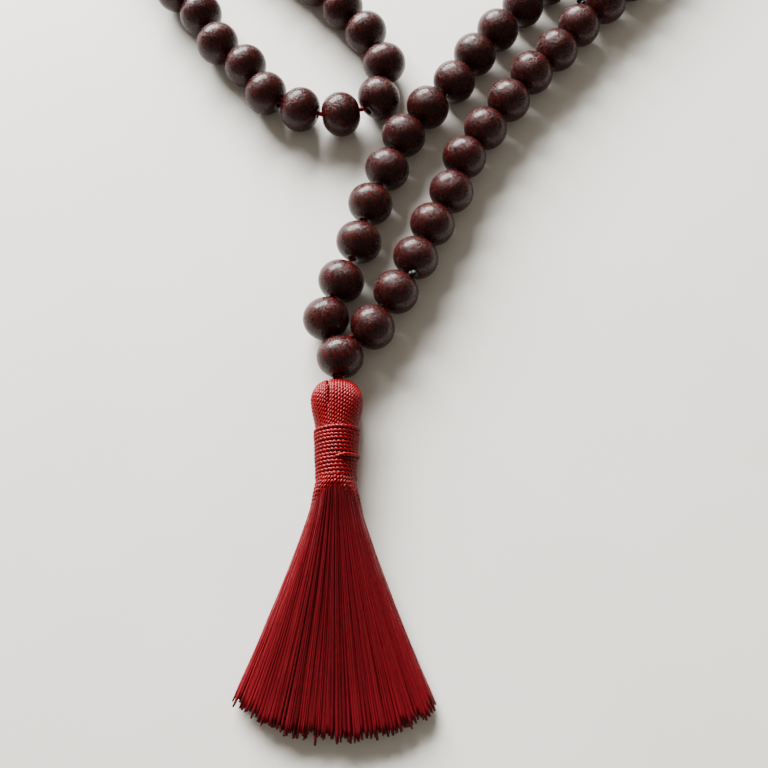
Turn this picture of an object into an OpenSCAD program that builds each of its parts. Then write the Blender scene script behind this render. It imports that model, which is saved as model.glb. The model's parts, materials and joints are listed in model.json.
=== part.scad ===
// Mala: wooden beads on one cord that closes at a guru bead, with a silk tassel tied under it.
// It lies on a table as it is put down after use: two strands run from the guru bead, and the
// rest of the loop is folded back beside them. +Z is up, +Y points away from the tassel.
// Every size below is stated for an 8 mm bead, and the whole mala scales with bead_d.

/* [Beads] */
// Diameter of a bead across its hole
bead_d = 8; // [6:0.5:10]
// Length of a bead along its hole
bead_len = 6.8; // [6.6:0.05:6.85]
// Radius of the turned outline, which rounds the bead from its waist to its end faces
bead_arc_r = 3.5; // [3.45:0.05:3.6]
// Bore of a bead
bore_d = 1.8; // [1.7:0.05:1.9]
// Bore of the guru bead, which both ends of the cord share
guru_bore_d = 2.3; // [2.2:0.05:2.4]

/* [Cord] */
// Diameter of the stringing cord
cord_d = 0.8; // [0.7:0.05:0.85]
// Diameter of the melted lump on a cord end
lump_d = 1.3; // [1.0:0.1:1.4]

/* [Tassel] */
// Length of the tassel, from the guru bead to the tips of its yarns
tassel_len = 56.6; // [52:0.2:62]
// Width of the looped head
head_w = 8.7; // [8.3:0.1:9]
// Length of the looped head
head_len = 8.8; // [8.5:0.1:9.2]
// Outer diameter of the binding
binding_d = 7.2; // [6.8:0.1:7.4]
// Length of the binding
binding_len = 8.4; // [8:0.1:9]
// Turns of cord in the binding
binding_turns = 13; // [11:1:14]
// Width of the fanned skirt near its tips
skirt_w = 31.5; // [24:0.5:34]

/* [Hidden] */
$fn = 48;
NOMINAL_BEAD_D = 8;
CORD_Z = NOMINAL_BEAD_D / 2;
CORD_SIDES = 8;
SPLINE_STEPS = 12;

// Centres of the beads from the guru bead outwards, with the guru bead's centre at 0, 0
LEFT = [
    [-2.5, 7], [0, 14], [3, 21.5], [5, 29], [8, 36], [11, 43], [15.5, 49], [20.5, 54.5],
    [24.5, 60.5], [29, 66], [34, 71.5]
];
RIGHT = [
    [5.5, 5.5], [9.5, 12], [13, 18.5], [16, 25], [19.5, 31.5], [22, 38.5], [26, 44.5],
    [30.5, 50.5], [35, 56.5], [40, 61.5], [44.5, 67], [49.9, 72.3]
];
// Centres of the beads round the far bend of the loop, from its outer arm to its inner arm
BEND = [
    [-35, 82], [-32.5, 75], [-27.5, 69.5], [-24, 63], [-18.5, 58], [-14.5, 52], [-8, 48.5],
    [-0.5, 47.5], [6.5, 51], [7.5, 58.5], [4, 65.5], [-0.5, 71], [-5.5, 76.5]
];
// Points that the two long runs behind the bend pass through
INNER_RUN = [
    [43, 81], [51, 93], [55, 107], [55, 123], [51, 138], [42, 151], [29, 159], [14, 162],
    [-1, 160], [-14, 153], [-24, 142], [-30, 129], [-31, 115], [-27, 102], [-20, 91], [-11, 82]
];
OUTER_RUN = [
    [-39, 88.5], [-46, 99], [-51, 113], [-52, 128], [-49, 144], [-41, 159], [-28, 172],
    [-11, 180], [7, 183], [26, 182], [44, 177], [59, 166], [70, 150], [75, 131], [74, 112],
    [68, 95], [58, 81]
];
INNER_COUNT = 32;
OUTER_COUNT = 40;
// Points that the cord seems to come from, which turn the first and the last bead's hole
LEFT_FORK = [2.4, 4.6];
RIGHT_FORK = [-0.5, 4.5];

// The two strands lift on three cross lines, and the far bend sways on two arms. Each number is
// the place on the cord of the last bead before a break.
LEFT_BREAKS = [1, 3, 6];
RIGHT_BREAKS = [106, 103, 100];
INNER_ARM_BREAKS = [42, 46];
OUTER_ARM_BREAKS = [51, 55];
// Width of a break in the cord, which leaves room for the hinge that stands for its bend
CORD_BREAK = 0.3;

// Heading of the guru bead's hole
GURU_HEADING = 85;
// Room between the guru bead and the tassel's head
TASSEL_GAP = 0.7;
// The tassel's axis, a little left of the guru bead's centre
TASSEL_X = -0.4;
KNOT_R = 0.9;
LOOP_R = 0.8;
LOOP_LEN = 6;
// Clearance where one piece moves against another
RUNNING = 0.1;
CORE_R = 2.5;
HEAD_R = 3.9;
HEAD_TAPER = 0.45;
BINDING_TAPER = 0.45;
// Share of its pitch that a turn of the binding fills
TURN_FILL = 0.94;
// The stray turn of the binding: its slant, where it starts and how far round it goes
TAIL_SLANT = 18;
TAIL_START = 10;
TAIL_SWEEP = 160;
SKIRT_TOP_GAP = 0.6;
SKIRT_TOP_HALF = 3.3;
SKIRT_FLARE = 1.18;
// The skirt's tips lie on an arc, a little to the right, and its corners stand above the lowest
SKIRT_ARC_R = 26;
SKIRT_ARC_X = 0.9;
SKIRT_CORNER = 5.5;
// Height of the skirt's upper side above the table: at its neck, below it and at its tips
SKIRT_NECK_H = 7.2;
SKIRT_SHOULDER_H = 5.8;
SKIRT_SHOULDER = 12;
SKIRT_TIP_H = 3;
// How far the skirt has to run before its underside reaches the table
SKIRT_SAG = 4;
SKIRT_SAG_H = 0.6;
LUMP_STEM_D = 0.5;
// Worn slope at the mouths of a hole
BORE_LIP = 0.35;
GURU_LIP = 0.15;
// How far inside a bead's mouth its cord starts to turn towards the next bead
TURN_IN = 0.8;
// How far a cord lies off the middle of a hole, as a share of how far aside the next bead is
CORD_HUG = 0.15;
ROOM_IN_BORE = 0.4;
// Room that a bead keeps from the cord that it presses in, as a share of the bead's size
PRESS_ROOM = 0.01;
// Distance between the two cord ends in the guru bead, in cord diameters
GURU_SPREAD = 1.04;
// How far a cutting shape reaches past what it cuts
OVERCUT = 1;

BEAD_RED = [0.25, 0.07, 0.06];
CORD_RED = [0.62, 0.05, 0.07];
SILK_RED = [0.75, 0.06, 0.08];
LUMP_BLACK = [0.04, 0.03, 0.03];

function flipped(list) = [for (i = [len(list) - 1:-1:0]) list[i]];
function two_digits(n) = n < 10 ? str("0", n) : str(n);

// Catmull-Rom spline through the points p, between p[i] and p[i + 1]
function spline(p, i, t) =
    0.5 * (2 * p[i] + (p[i + 1] - p[i - 1]) * t
        + (2 * p[i - 1] - 5 * p[i] + 4 * p[i + 1] - p[i + 2]) * t * t
        + (3 * p[i] - p[i - 1] - 3 * p[i + 1] + p[i + 2]) * t * t * t);
function traced(p) = [
    for (i = [1:len(p) - 3]) for (k = [0:SPLINE_STEPS - 1]) spline(p, i, k / SPLINE_STEPS),
    p[len(p) - 2]
];
function mileage(q) = [
    for (i = 0, s = 0; i < len(q); s = s + norm(q[min(i + 1, len(q) - 1)] - q[i]), i = i + 1) s
];
// Evenly spaced points between p[1] and p[len(p) - 2] on the spline
function evenly(p, count) =
    let (q = traced(p), m = mileage(q), total = m[len(m) - 1])
    let (xs = [for (i = [0:len(q) - 1]) [m[i], q[i].x]])
    let (ys = [for (i = [0:len(q) - 1]) [m[i], q[i].y]])
    [for (k = [1:count]) let (s = total * k / (count + 1)) [lookup(s, xs), lookup(s, ys)]];

INNER = evenly(
    concat([LEFT[9], LEFT[10]], INNER_RUN, [BEND[12], BEND[11]]), INNER_COUNT);
OUTER = evenly(
    concat([BEND[1], BEND[0]], OUTER_RUN, [RIGHT[11], RIGHT[10]]), OUTER_COUNT);
BEADS = concat(LEFT, INNER, flipped(BEND), OUTER, flipped(RIGHT));
LAST = len(BEADS) - 1;

// The way the cord travels through bead k, the middle of its hole's two mouths and the middle of
// the stretch of cord between bead k and the next one
function travel(k) = k == 0 ? BEADS[1] - LEFT_FORK
    : k == LAST ? RIGHT_FORK - BEADS[LAST - 1]
    : BEADS[k + 1] - BEADS[k - 1];
function unit(v) = v / norm(v);
function leg(path, i) = unit(path[i + 1] - path[i]);
function mouth(k, side) = BEADS[k] + side * bead_len / 2 * unit(travel(k));
function between(k) = (mouth(k, 1) + mouth(k + 1, -1)) / 2;
// A point on the way from a to b, half a break short of b
function short_of(a, b) = b - CORD_BREAK / 2 * unit(b - a);

// The place inside bead k's hole where its cord starts to turn. A taut cord lies against the
// side of the hole that the next bead is on.
function turning(k, side) =
    let (axis = unit(travel(k)), next = k + side)
    let (ahead = next < 0 ? LEFT_FORK - BEADS[k]
        : next > LAST ? RIGHT_FORK - BEADS[k] : BEADS[next] - BEADS[k])
    let (aside = ahead - (ahead * axis) * axis)
    BEADS[k] + side * (bead_len / 2 - TURN_IN) * axis
        + min(CORD_HUG, ROOM_IN_BORE / max(norm(aside), RUNNING)) * aside;

function cord_turns(first, last) = [
    for (k = [first:last]) each [turning(k, -1), turning(k, 1)]
];

// The cord through beads first to last, up to the breaks beyond them
function cord_path(first, last) = concat(
    [short_of(turning(first, -1), between(first - 1))], cord_turns(first, last),
    [short_of(turning(last, 1), between(last))]);

GURU_ALONG = [cos(GURU_HEADING), sin(GURU_HEADING)];
GURU_ACROSS = [-sin(GURU_HEADING), cos(GURU_HEADING)];
// A point in the guru bead's hole, on one cord end's side of it
function in_guru(side, y) = side * cord_d / 2 * GURU_SPREAD * GURU_ACROSS + y * GURU_ALONG;
GURU_FOOT = KNOT_R + RUNNING - bead_len / 2;
CORD_FROM_GURU = concat(
    [in_guru(1, GURU_FOOT), in_guru(1, bead_len / 2)], cord_turns(0, LEFT_BREAKS[0]),
    [short_of(turning(LEFT_BREAKS[0], 1), between(LEFT_BREAKS[0]))]);
CORD_TO_GURU = concat(
    [short_of(turning(RIGHT_BREAKS[0] + 1, -1), between(RIGHT_BREAKS[0]))],
    cord_turns(RIGHT_BREAKS[0] + 1, LAST),
    [in_guru(-1, bead_len / 2), in_guru(-1, GURU_FOOT)]);

// The tassel's stations along its length, from the knot down to the tips
KNOT_Y = -bead_len / 2 - TASSEL_GAP / 2;
HEAD_Y = -bead_len / 2 - TASSEL_GAP;
BINDING_Y = HEAD_Y - head_len;
SKIRT_Y = BINDING_Y - binding_len;
TIP_Y = HEAD_Y - tassel_len;

// The mala's own box decides where its origin goes: under the middle of it
ALL_X = [for (b = BEADS) b.x];
ALL_Y = [for (b = BEADS) b.y];
ORIGIN = [
    (min(ALL_X) + max(ALL_X)) / 2,
    (max(ALL_Y) + NOMINAL_BEAD_D / 2 + TIP_Y) / 2
];

// Puts a piece drawn round the guru bead's centre at its place and size
module placed() {
    scale(bead_d / NOMINAL_BEAD_D) translate([-ORIGIN.x, -ORIGIN.y, CORD_Z]) children();
}

// A turned bead with its hole along X, whose mouths are worn to a slope
module turned_bead(hole_d, lip) {
    hole_r = hole_d / 2;
    end = bead_len / 2;
    rotate([0, 90, 0]) rotate_extrude() {
        intersection() {
            translate([NOMINAL_BEAD_D / 2 - bead_arc_r, 0]) circle(bead_arc_r);
            polygon([
                [hole_r, lip - end], [hole_r + lip, -end], [NOMINAL_BEAD_D, -end],
                [NOMINAL_BEAD_D, end], [hole_r + lip, end], [hole_r, end - lip]
            ]);
        }
    }
}

// Puts a piece drawn along X at bead k, with X the way that the cord travels
module at_bead(k) {
    translate(BEADS[k]) rotate([0, 0, atan2(travel(k).y, travel(k).x)]) children();
}

// The bead at place k on the cord
module strung_bead(k) {
    color(BEAD_RED) placed() at_bead(k) turned_bead(bore_d, BORE_LIP);
}

module guru_bead() {
    color(BEAD_RED) placed() rotate([0, 0, GURU_HEADING])
        turned_bead(guru_bore_d, GURU_LIP);
}

// A round cord along a level path, mitred where it turns
module cord(path) {
    last = len(path) - 1;
    tangents = [
        for (i = [0:last]) unit(leg(path, max(i - 1, 0)) + leg(path, min(i, last - 1)))
    ];
    r = cord_d / 2;
    rings = [
        for (i = [0:last])
            let (t = tangents[i], mitre = 1 / (t * leg(path, min(i, last - 1))))
            for (j = [0:CORD_SIDES - 1])
                let (a = 360 * (j + 0.5) / CORD_SIDES)
                [
                    path[i].x - t.y * r * cos(a) * mitre,
                    path[i].y + t.x * r * cos(a) * mitre,
                    r * sin(a)
                ]
    ];
    sides = [
        for (i = [0:last - 1]) for (j = [0:CORD_SIDES - 1])
            let (n = CORD_SIDES, a = i * n + j, b = i * n + (j + 1) % n)
            [a, b, b + n, a + n]
    ];
    first_cap = [for (j = [CORD_SIDES - 1:-1:0]) j];
    last_cap = [for (j = [0:CORD_SIDES - 1]) last * CORD_SIDES + j];
    polyhedron(rings, concat([first_cap], sides, [last_cap]), convexity = 10);
}

// A cord that bends hard at the mouths of some beads, and is pressed in by them there
module pressed_cord(path, beads) {
    difference() {
        cord(path);
        for (k = beads)
            at_bead(k) scale(1 + PRESS_ROOM)
                turned_bead(bore_d * (1 - 2 * PRESS_ROOM), BORE_LIP);
    }
}

module cord_lower() {
    color(CORD_RED) placed() {
        pressed_cord(CORD_FROM_GURU, [0, 1]);
        cord(CORD_TO_GURU);
    }
}

// Both strands' cords between two of the cross lines, numbered from the guru bead
module cord_between_lines(n) {
    color(CORD_RED) placed() {
        cord(cord_path(LEFT_BREAKS[n] + 1, LEFT_BREAKS[n + 1]));
        cord(cord_path(RIGHT_BREAKS[n + 1] + 1, RIGHT_BREAKS[n]));
    }
}

module cord_stretch(first, last) {
    color(CORD_RED) placed() cord(cord_path(first, last));
}

// The same for the far bend's arms, where the cord bends hard
module cord_bent_stretch(first, last) {
    color(CORD_RED) placed() pressed_cord(cord_path(first, last), [first:last]);
}

// Beads that lie behind the folded loop, first to last
module bead_run(first, last) {
    for (k = [first:last]) strung_bead(k);
}

// A melted cord end that stands out between bead k and the next one, on one side of the cord
module cord_lump(k, side, lift, reach) {
    along = unit(BEADS[k + 1] - BEADS[k]);
    color(LUMP_BLACK) placed() translate(between(k))
        rotate([0, 0, atan2(along.y, along.x)]) rotate([side * (90 - lift), 0, 0]) {
            translate([0, 0, cord_d / 2 + RUNNING])
                cylinder(d = LUMP_STEM_D, h = reach - cord_d / 2 - RUNNING);
            translate([0, 0, reach]) sphere(d = lump_d);
        }
}

// Puts a tassel piece drawn along -Y from the guru bead's centre on the tassel's own axis
module on_tassel() {
    placed() translate([TASSEL_X, 0, 0]) children();
}

// A shape turned about the tassel's axis, from an outline with its length along Y
module turned() {
    rotate([-90, 0, 0]) rotate_extrude() children();
}

// Knot of the two cord ends, under the guru bead
module guru_knot() {
    color(CORD_RED) on_tassel() translate([0, KNOT_Y, 0]) sphere(KNOT_R);
}

// Loop of cord that hangs the head on the knot
module hanging_loop() {
    color(CORD_RED) on_tassel() difference() {
        translate([0, KNOT_Y - LOOP_LEN, 0]) rotate([-90, 0, 0])
            cylinder(r = LOOP_R, h = LOOP_LEN);
        translate([0, KNOT_Y, 0]) sphere(KNOT_R + RUNNING);
    }
}

// One half of the looped head, left or right of the cleft
module head_half(side) {
    lean = head_w / 2 - HEAD_R;
    color(SILK_RED) on_tassel() difference() {
        translate([side * lean, 0, 0]) {
            turned() translate([0, HEAD_Y - HEAD_R]) intersection() {
                circle(HEAD_R);
                square(HEAD_R);
            }
            turned() polygon([
                [0, HEAD_Y - HEAD_R], [HEAD_R, HEAD_Y - HEAD_R],
                [HEAD_R - HEAD_TAPER, BINDING_Y], [0, BINDING_Y]
            ]);
        }
        translate([side > 0 ? -head_w : 0, BINDING_Y - OVERCUT, -head_w])
            cube([head_w, head_len + 2 * OVERCUT, 2 * head_w]);
        translate([0, KNOT_Y - LOOP_LEN - RUNNING, 0]) rotate([-90, 0, 0])
            cylinder(r = LOOP_R + RUNNING, h = LOOP_LEN);
        translate([0, KNOT_Y, 0]) sphere(KNOT_R + RUNNING);
    }
}

module head_cords_left() {
    head_half(-1);
}

module head_cords_right() {
    head_half(1);
}

// Bundle of cords inside the binding, with a round foot that the skirt sways on
module tassel_core() {
    color(SILK_RED) on_tassel() union() {
        translate([0, SKIRT_Y, 0]) rotate([-90, 0, 0]) cylinder(r = CORE_R, h = binding_len);
        translate([0, SKIRT_Y, 0]) sphere(CORE_R);
    }
}

// Cord wound round the neck of the tassel
module binding_wraps() {
    pitch = binding_len / binding_turns;
    wide = binding_d / 2 - pitch / 2;
    narrow = wide - BINDING_TAPER;
    color(SILK_RED) on_tassel() union() {
        turned() polygon([
            [CORE_R, BINDING_Y], [wide, BINDING_Y], [narrow, SKIRT_Y], [CORE_R, SKIRT_Y]
        ]);
        for (i = [0:binding_turns - 1])
            let (share = (i + 0.5) / binding_turns)
                turned() translate([
                    wide - BINDING_TAPER * share, BINDING_Y - share * binding_len
                ]) circle(d = pitch * TURN_FILL);
    }
}

// Last turn of the binding, which crosses the others aslant
module binding_tail() {
    tail_d = binding_len / binding_turns * TURN_FILL;
    color(SILK_RED) on_tassel() translate([0, BINDING_Y - binding_len / 2, 0])
        rotate([0, 0, -TAIL_SLANT]) rotate([90, 0, 0]) rotate([0, 0, TAIL_START])
            rotate_extrude(angle = TAIL_SWEEP) translate([(binding_d + tail_d) / 2, 0])
                circle(d = tail_d);
}

// Half the skirt's width at height y
function skirt_half(y) =
    let (share = (SKIRT_Y - y) / (SKIRT_Y - TIP_Y - SKIRT_CORNER))
    SKIRT_TOP_HALF + (skirt_w / 2 - SKIRT_TOP_HALF) * pow(share, SKIRT_FLARE);

// Fan of yarns below the binding, as it lies on the table
module tassel_skirt() {
    top = SKIRT_Y - SKIRT_TOP_GAP;
    heights = [for (i = [0:10]) top + (TIP_Y - top) * i / 10];
    color(SILK_RED) on_tassel() difference() {
        intersection() {
            translate([0, 0, -CORD_Z]) linear_extrude(NOMINAL_BEAD_D) intersection() {
                polygon(concat(
                    [for (y = heights) [skirt_half(y), y]],
                    [for (y = flipped(heights)) [-skirt_half(y), y]]));
                translate([SKIRT_ARC_X, TIP_Y + SKIRT_ARC_R]) circle(SKIRT_ARC_R, $fn = 96);
            }
            translate([-skirt_w, 0, -CORD_Z]) rotate([90, 0, 90]) linear_extrude(2 * skirt_w)
                polygon([
                    [top, SKIRT_SAG_H], [top - SKIRT_SAG, 0], [TIP_Y - OVERCUT, 0],
                    [TIP_Y - OVERCUT, SKIRT_TIP_H], [top - SKIRT_SHOULDER, SKIRT_SHOULDER_H],
                    [top, SKIRT_NECK_H]
                ]);
        }
        translate([0, SKIRT_Y, 0]) sphere(CORE_R + RUNNING);
    }
}

LEFT_NAMES = [for (i = [1:len(LEFT)]) str("bead_left_", two_digits(i))];
RIGHT_NAMES = [for (i = [1:len(RIGHT)]) str("bead_right_", two_digits(i))];
BEND_NAMES = [for (i = [1:len(BEND)]) str("bead_bend_", two_digits(i))];

INNER_FIRST = len(LEFT);
BEND_FIRST = INNER_FIRST + INNER_COUNT;
OUTER_FIRST = BEND_FIRST + len(BEND);
OUTER_END = OUTER_FIRST + OUTER_COUNT - 1;

for (i = [1:len(LEFT)])
    strung_bead(i - 1);
for (i = [1:len(RIGHT)])
    strung_bead(LAST + 1 - i);
for (i = [1:len(BEND)])
    strung_bead(OUTER_FIRST - i);
guru_bead();
bead_run(INNER_FIRST, BEND_FIRST - 1);  // beads_inner_run
bead_run(OUTER_FIRST, OUTER_END);  // beads_outer_run
cord_lower();
cord_between_lines(0);  // cord_middle
cord_between_lines(1);  // cord_upper
cord_stretch(LEFT_BREAKS[2] + 1, INNER_ARM_BREAKS[0]);  // cord_inner_run
cord_stretch(OUTER_ARM_BREAKS[1] + 1, RIGHT_BREAKS[2]);  // cord_outer_run
cord_bent_stretch(INNER_ARM_BREAKS[0] + 1, INNER_ARM_BREAKS[1]);  // cord_inner_arm
cord_bent_stretch(OUTER_ARM_BREAKS[0] + 1, OUTER_ARM_BREAKS[1]);  // cord_outer_arm
cord_bent_stretch(INNER_ARM_BREAKS[1] + 1, OUTER_ARM_BREAKS[0]);  // cord_bend_end
cord_lump(k = 105, side = -1, lift = 58, reach = 2.5);  // cord_lump_near
cord_lump(k = 96, side = 1, lift = 20, reach = 3);  // cord_lump_far
guru_knot();
hanging_loop();
head_cords_left();
head_cords_right();
tassel_core();
binding_wraps();
binding_tail();
tassel_skirt();
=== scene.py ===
"""Mala of dark rosewood beads on a red cord, with a silk tassel, lying folded on a pale table."""

import json
import math

import bpy
import numpy as np
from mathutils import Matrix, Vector


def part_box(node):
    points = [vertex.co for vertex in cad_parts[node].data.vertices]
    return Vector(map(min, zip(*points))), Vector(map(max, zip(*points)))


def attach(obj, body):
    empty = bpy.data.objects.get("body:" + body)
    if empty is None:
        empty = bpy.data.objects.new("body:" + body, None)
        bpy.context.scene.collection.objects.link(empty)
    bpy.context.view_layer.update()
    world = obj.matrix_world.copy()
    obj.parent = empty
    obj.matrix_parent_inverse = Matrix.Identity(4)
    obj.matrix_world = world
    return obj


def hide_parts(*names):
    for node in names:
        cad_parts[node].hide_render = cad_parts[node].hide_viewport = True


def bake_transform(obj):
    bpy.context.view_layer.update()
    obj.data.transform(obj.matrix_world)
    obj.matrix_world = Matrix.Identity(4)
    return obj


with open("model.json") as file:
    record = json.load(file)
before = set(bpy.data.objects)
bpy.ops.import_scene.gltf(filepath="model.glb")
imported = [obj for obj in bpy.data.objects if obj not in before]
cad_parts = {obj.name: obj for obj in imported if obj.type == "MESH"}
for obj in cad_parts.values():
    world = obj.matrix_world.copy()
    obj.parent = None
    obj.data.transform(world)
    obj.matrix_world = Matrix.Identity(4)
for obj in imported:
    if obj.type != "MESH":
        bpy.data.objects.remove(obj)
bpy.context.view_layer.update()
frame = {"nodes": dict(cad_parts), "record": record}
MM = 0.001


# ---------------------------------------------------------------------------------------------
# Camera. It looks down on the guru bead from the tassel's side, tilted a little from upright.
# The guru bead's centre is the point that the whole string is laid out from.
guru_low, guru_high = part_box("guru_bead")
GURU = np.array((guru_low + guru_high) / 2)

CAMERA_TILT = math.radians(18.3)
CAMERA_FROM_GURU = np.array([7.44, -57.46]) * MM
CAMERA_HEIGHT = 163.2 * MM
camera_data = bpy.data.cameras.new("camera")
camera_data.lens = 46.875
camera_data.sensor_width = 36.0
camera_data.clip_start = 0.01
camera_data.clip_end = 10.0
camera = bpy.data.objects.new("camera", camera_data)
camera.location = (
    GURU[0] + CAMERA_FROM_GURU[0], GURU[1] + CAMERA_FROM_GURU[1], CAMERA_HEIGHT)
camera.rotation_euler = (CAMERA_TILT, 0.0, 0.0)
bpy.context.scene.collection.objects.link(camera)
bpy.context.scene.camera = camera


# ---------------------------------------------------------------------------------------------
# Table and light. The table is a plain pale board. One broad window-like lamp stands low on the
# far side, a little to the left, and a dim pale room fills the shadows.
def lamp(name, at, aim, width, height, watts, colour):
    """A rectangular area lamp at one point, turned to face another."""
    data = bpy.data.lights.new(name, "AREA")
    data.shape = "RECTANGLE"
    data.size = width
    data.size_y = height
    data.energy = watts
    data.color = colour
    made = bpy.data.objects.new(name, data)
    made.location = at
    made.rotation_euler = (Vector(aim) - Vector(at)).to_track_quat("-Z", "Y").to_euler()
    bpy.context.scene.collection.objects.link(made)


def new_material(name):
    """An empty node material with its Principled shader, returned with its nodes and links."""
    made = bpy.data.materials.new(name)
    made.use_nodes = True
    nodes, links = made.node_tree.nodes, made.node_tree.links
    return made, nodes, links, nodes["Principled BSDF"]


def ramp(nodes, stops):
    """A Color Ramp node whose stops are (position, colour) pairs."""
    made = nodes.new("ShaderNodeValToRGB")
    elements = made.color_ramp.elements
    while len(elements) < len(stops):
        elements.new(0.5)
    for element, (position, colour) in zip(elements, stops):
        element.position = position
        element.color = (*colour, 1.0)
    return made


TABLE_HALF = 1.5
table_mesh = bpy.data.meshes.new("table")
table_mesh.from_pydata(
    [(-TABLE_HALF, -TABLE_HALF, 0.0), (TABLE_HALF, -TABLE_HALF, 0.0),
     (TABLE_HALF, TABLE_HALF, 0.0), (-TABLE_HALF, TABLE_HALF, 0.0)],
    [], [(0, 1, 2, 3)])
table = bpy.data.objects.new("table", table_mesh)
bpy.context.scene.collection.objects.link(table)
table_paint, nodes, links, shader = new_material("table paint")
mottle = nodes.new("ShaderNodeTexNoise")
mottle.inputs["Scale"].default_value = 30.0
where = nodes.new("ShaderNodeTexCoord")
links.new(where.outputs["Object"], mottle.inputs["Vector"])
tint = ramp(nodes, [(0.3, (0.80, 0.785, 0.745)), (0.7, (0.84, 0.825, 0.785))])
links.new(mottle.outputs["Fac"], tint.inputs["Fac"])
links.new(tint.outputs["Color"], shader.inputs["Base Color"])
shader.inputs["Roughness"].default_value = 0.6
table_mesh.materials.append(table_paint)

WINDOW_AT = (-0.34, 0.76, 0.42)
WINDOW_AIM = (0.0, -0.06, 0.0)
WINDOW_WIDTH, WINDOW_HEIGHT = 0.8, 0.46
WINDOW_WATTS = 64.0
WINDOW_COLOUR = (1.0, 0.985, 0.955)
lamp("window", WINDOW_AT, WINDOW_AIM, WINDOW_WIDTH, WINDOW_HEIGHT, WINDOW_WATTS, WINDOW_COLOUR)
room = bpy.data.worlds.new("room")
room.use_nodes = True
room_light = room.node_tree.nodes["Background"]
room_light.inputs["Color"].default_value = (1.0, 0.89, 0.74, 1.0)
room_light.inputs["Strength"].default_value = 0.27
bpy.context.scene.world = room


# ---------------------------------------------------------------------------------------------
# Beads. Each is turned from dark rosewood, oiled and polished: a full round waist, two small end
# faces and a drilled hole with a worn lip. 108 run on the cord; the guru bead's hole is wider.
BEAD_D = 8.0 * MM
BEAD_LEN = 6.8 * MM
BEAD_ARC_R = 3.5 * MM
BORE_R = 0.7 * MM
GURU_BORE_R = 0.94 * MM
LIP_R = 0.2 * MM
BEAD_AROUND = 36
BEAD_SEED = 20260613
bead_luck = np.random.default_rng(BEAD_SEED)


def add_mesh(name, points, quads, triangles, material, values=None):
    """A mesh object from an array of points, one of quads and one of triangles, with its vector
    attributes by name."""
    mesh = bpy.data.meshes.new(name)
    mesh.vertices.add(len(points))
    mesh.vertices.foreach_set("co", np.asarray(points, np.float32).ravel())
    quads = np.asarray(quads, np.int32).reshape(-1, 4)
    triangles = np.asarray(triangles, np.int32).reshape(-1, 3)
    corners = np.concatenate([quads.ravel(), triangles.ravel()])
    mesh.loops.add(len(corners))
    mesh.loops.foreach_set("vertex_index", corners)
    first_triangle = quads.size
    starts = np.concatenate([
        np.arange(len(quads), dtype=np.int32) * 4,
        first_triangle + np.arange(len(triangles), dtype=np.int32) * 3])
    mesh.polygons.add(len(starts))
    mesh.polygons.foreach_set("loop_start", starts)
    mesh.polygons.foreach_set("use_smooth", np.ones(len(starts), bool))
    mesh.update(calc_edges=True)
    for key, value in (values or {}).items():
        attribute = mesh.attributes.new(key, "FLOAT_VECTOR", "POINT")
        attribute.data.foreach_set("vector", np.asarray(value, np.float32).ravel())
    mesh.materials.append(material)
    made = bpy.data.objects.new(name, mesh)
    bpy.context.scene.collection.objects.link(made)
    return made


def ring_quads(rows, columns, wrap_rows=False):
    """Quads of a grid whose columns close on themselves, and its rows too where asked."""
    last = rows if wrap_rows else rows - 1
    i = np.arange(last)[:, None]
    j = np.arange(columns)[None, :]
    below, beside = (i + 1) % rows, (j + 1) % columns
    return np.stack(
        [i * columns + j, i * columns + beside, below * columns + beside, below * columns + j],
        axis=-1).reshape(-1, 4)


def bead_profile(bore_r):
    """Closed outline of a bead, as (along the hole, from the hole's axis).
    The outside is an arc whose centre stands off the axis; a quarter-round lip leads to the bore."""
    half, off = BEAD_LEN / 2, BEAD_D / 2 - BEAD_ARC_R
    reach = math.asin(half / BEAD_ARC_R)
    swing = np.linspace(-reach, reach, 25)
    outer = np.stack([BEAD_ARC_R * np.sin(swing), off + BEAD_ARC_R * np.cos(swing)], axis=1)
    turn = np.linspace(0.0, math.pi / 2, 5)
    lip = np.stack([half - LIP_R * (1 - np.cos(turn)),
                    bore_r + LIP_R * (1 - np.sin(turn))], axis=1)
    bore = np.stack([np.linspace(half - LIP_R, -half + LIP_R, 4)[1:-1],
                     np.full(2, bore_r)], axis=1)
    return np.concatenate([outer, lip, bore, lip[::-1] * (-1, 1)])


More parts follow.
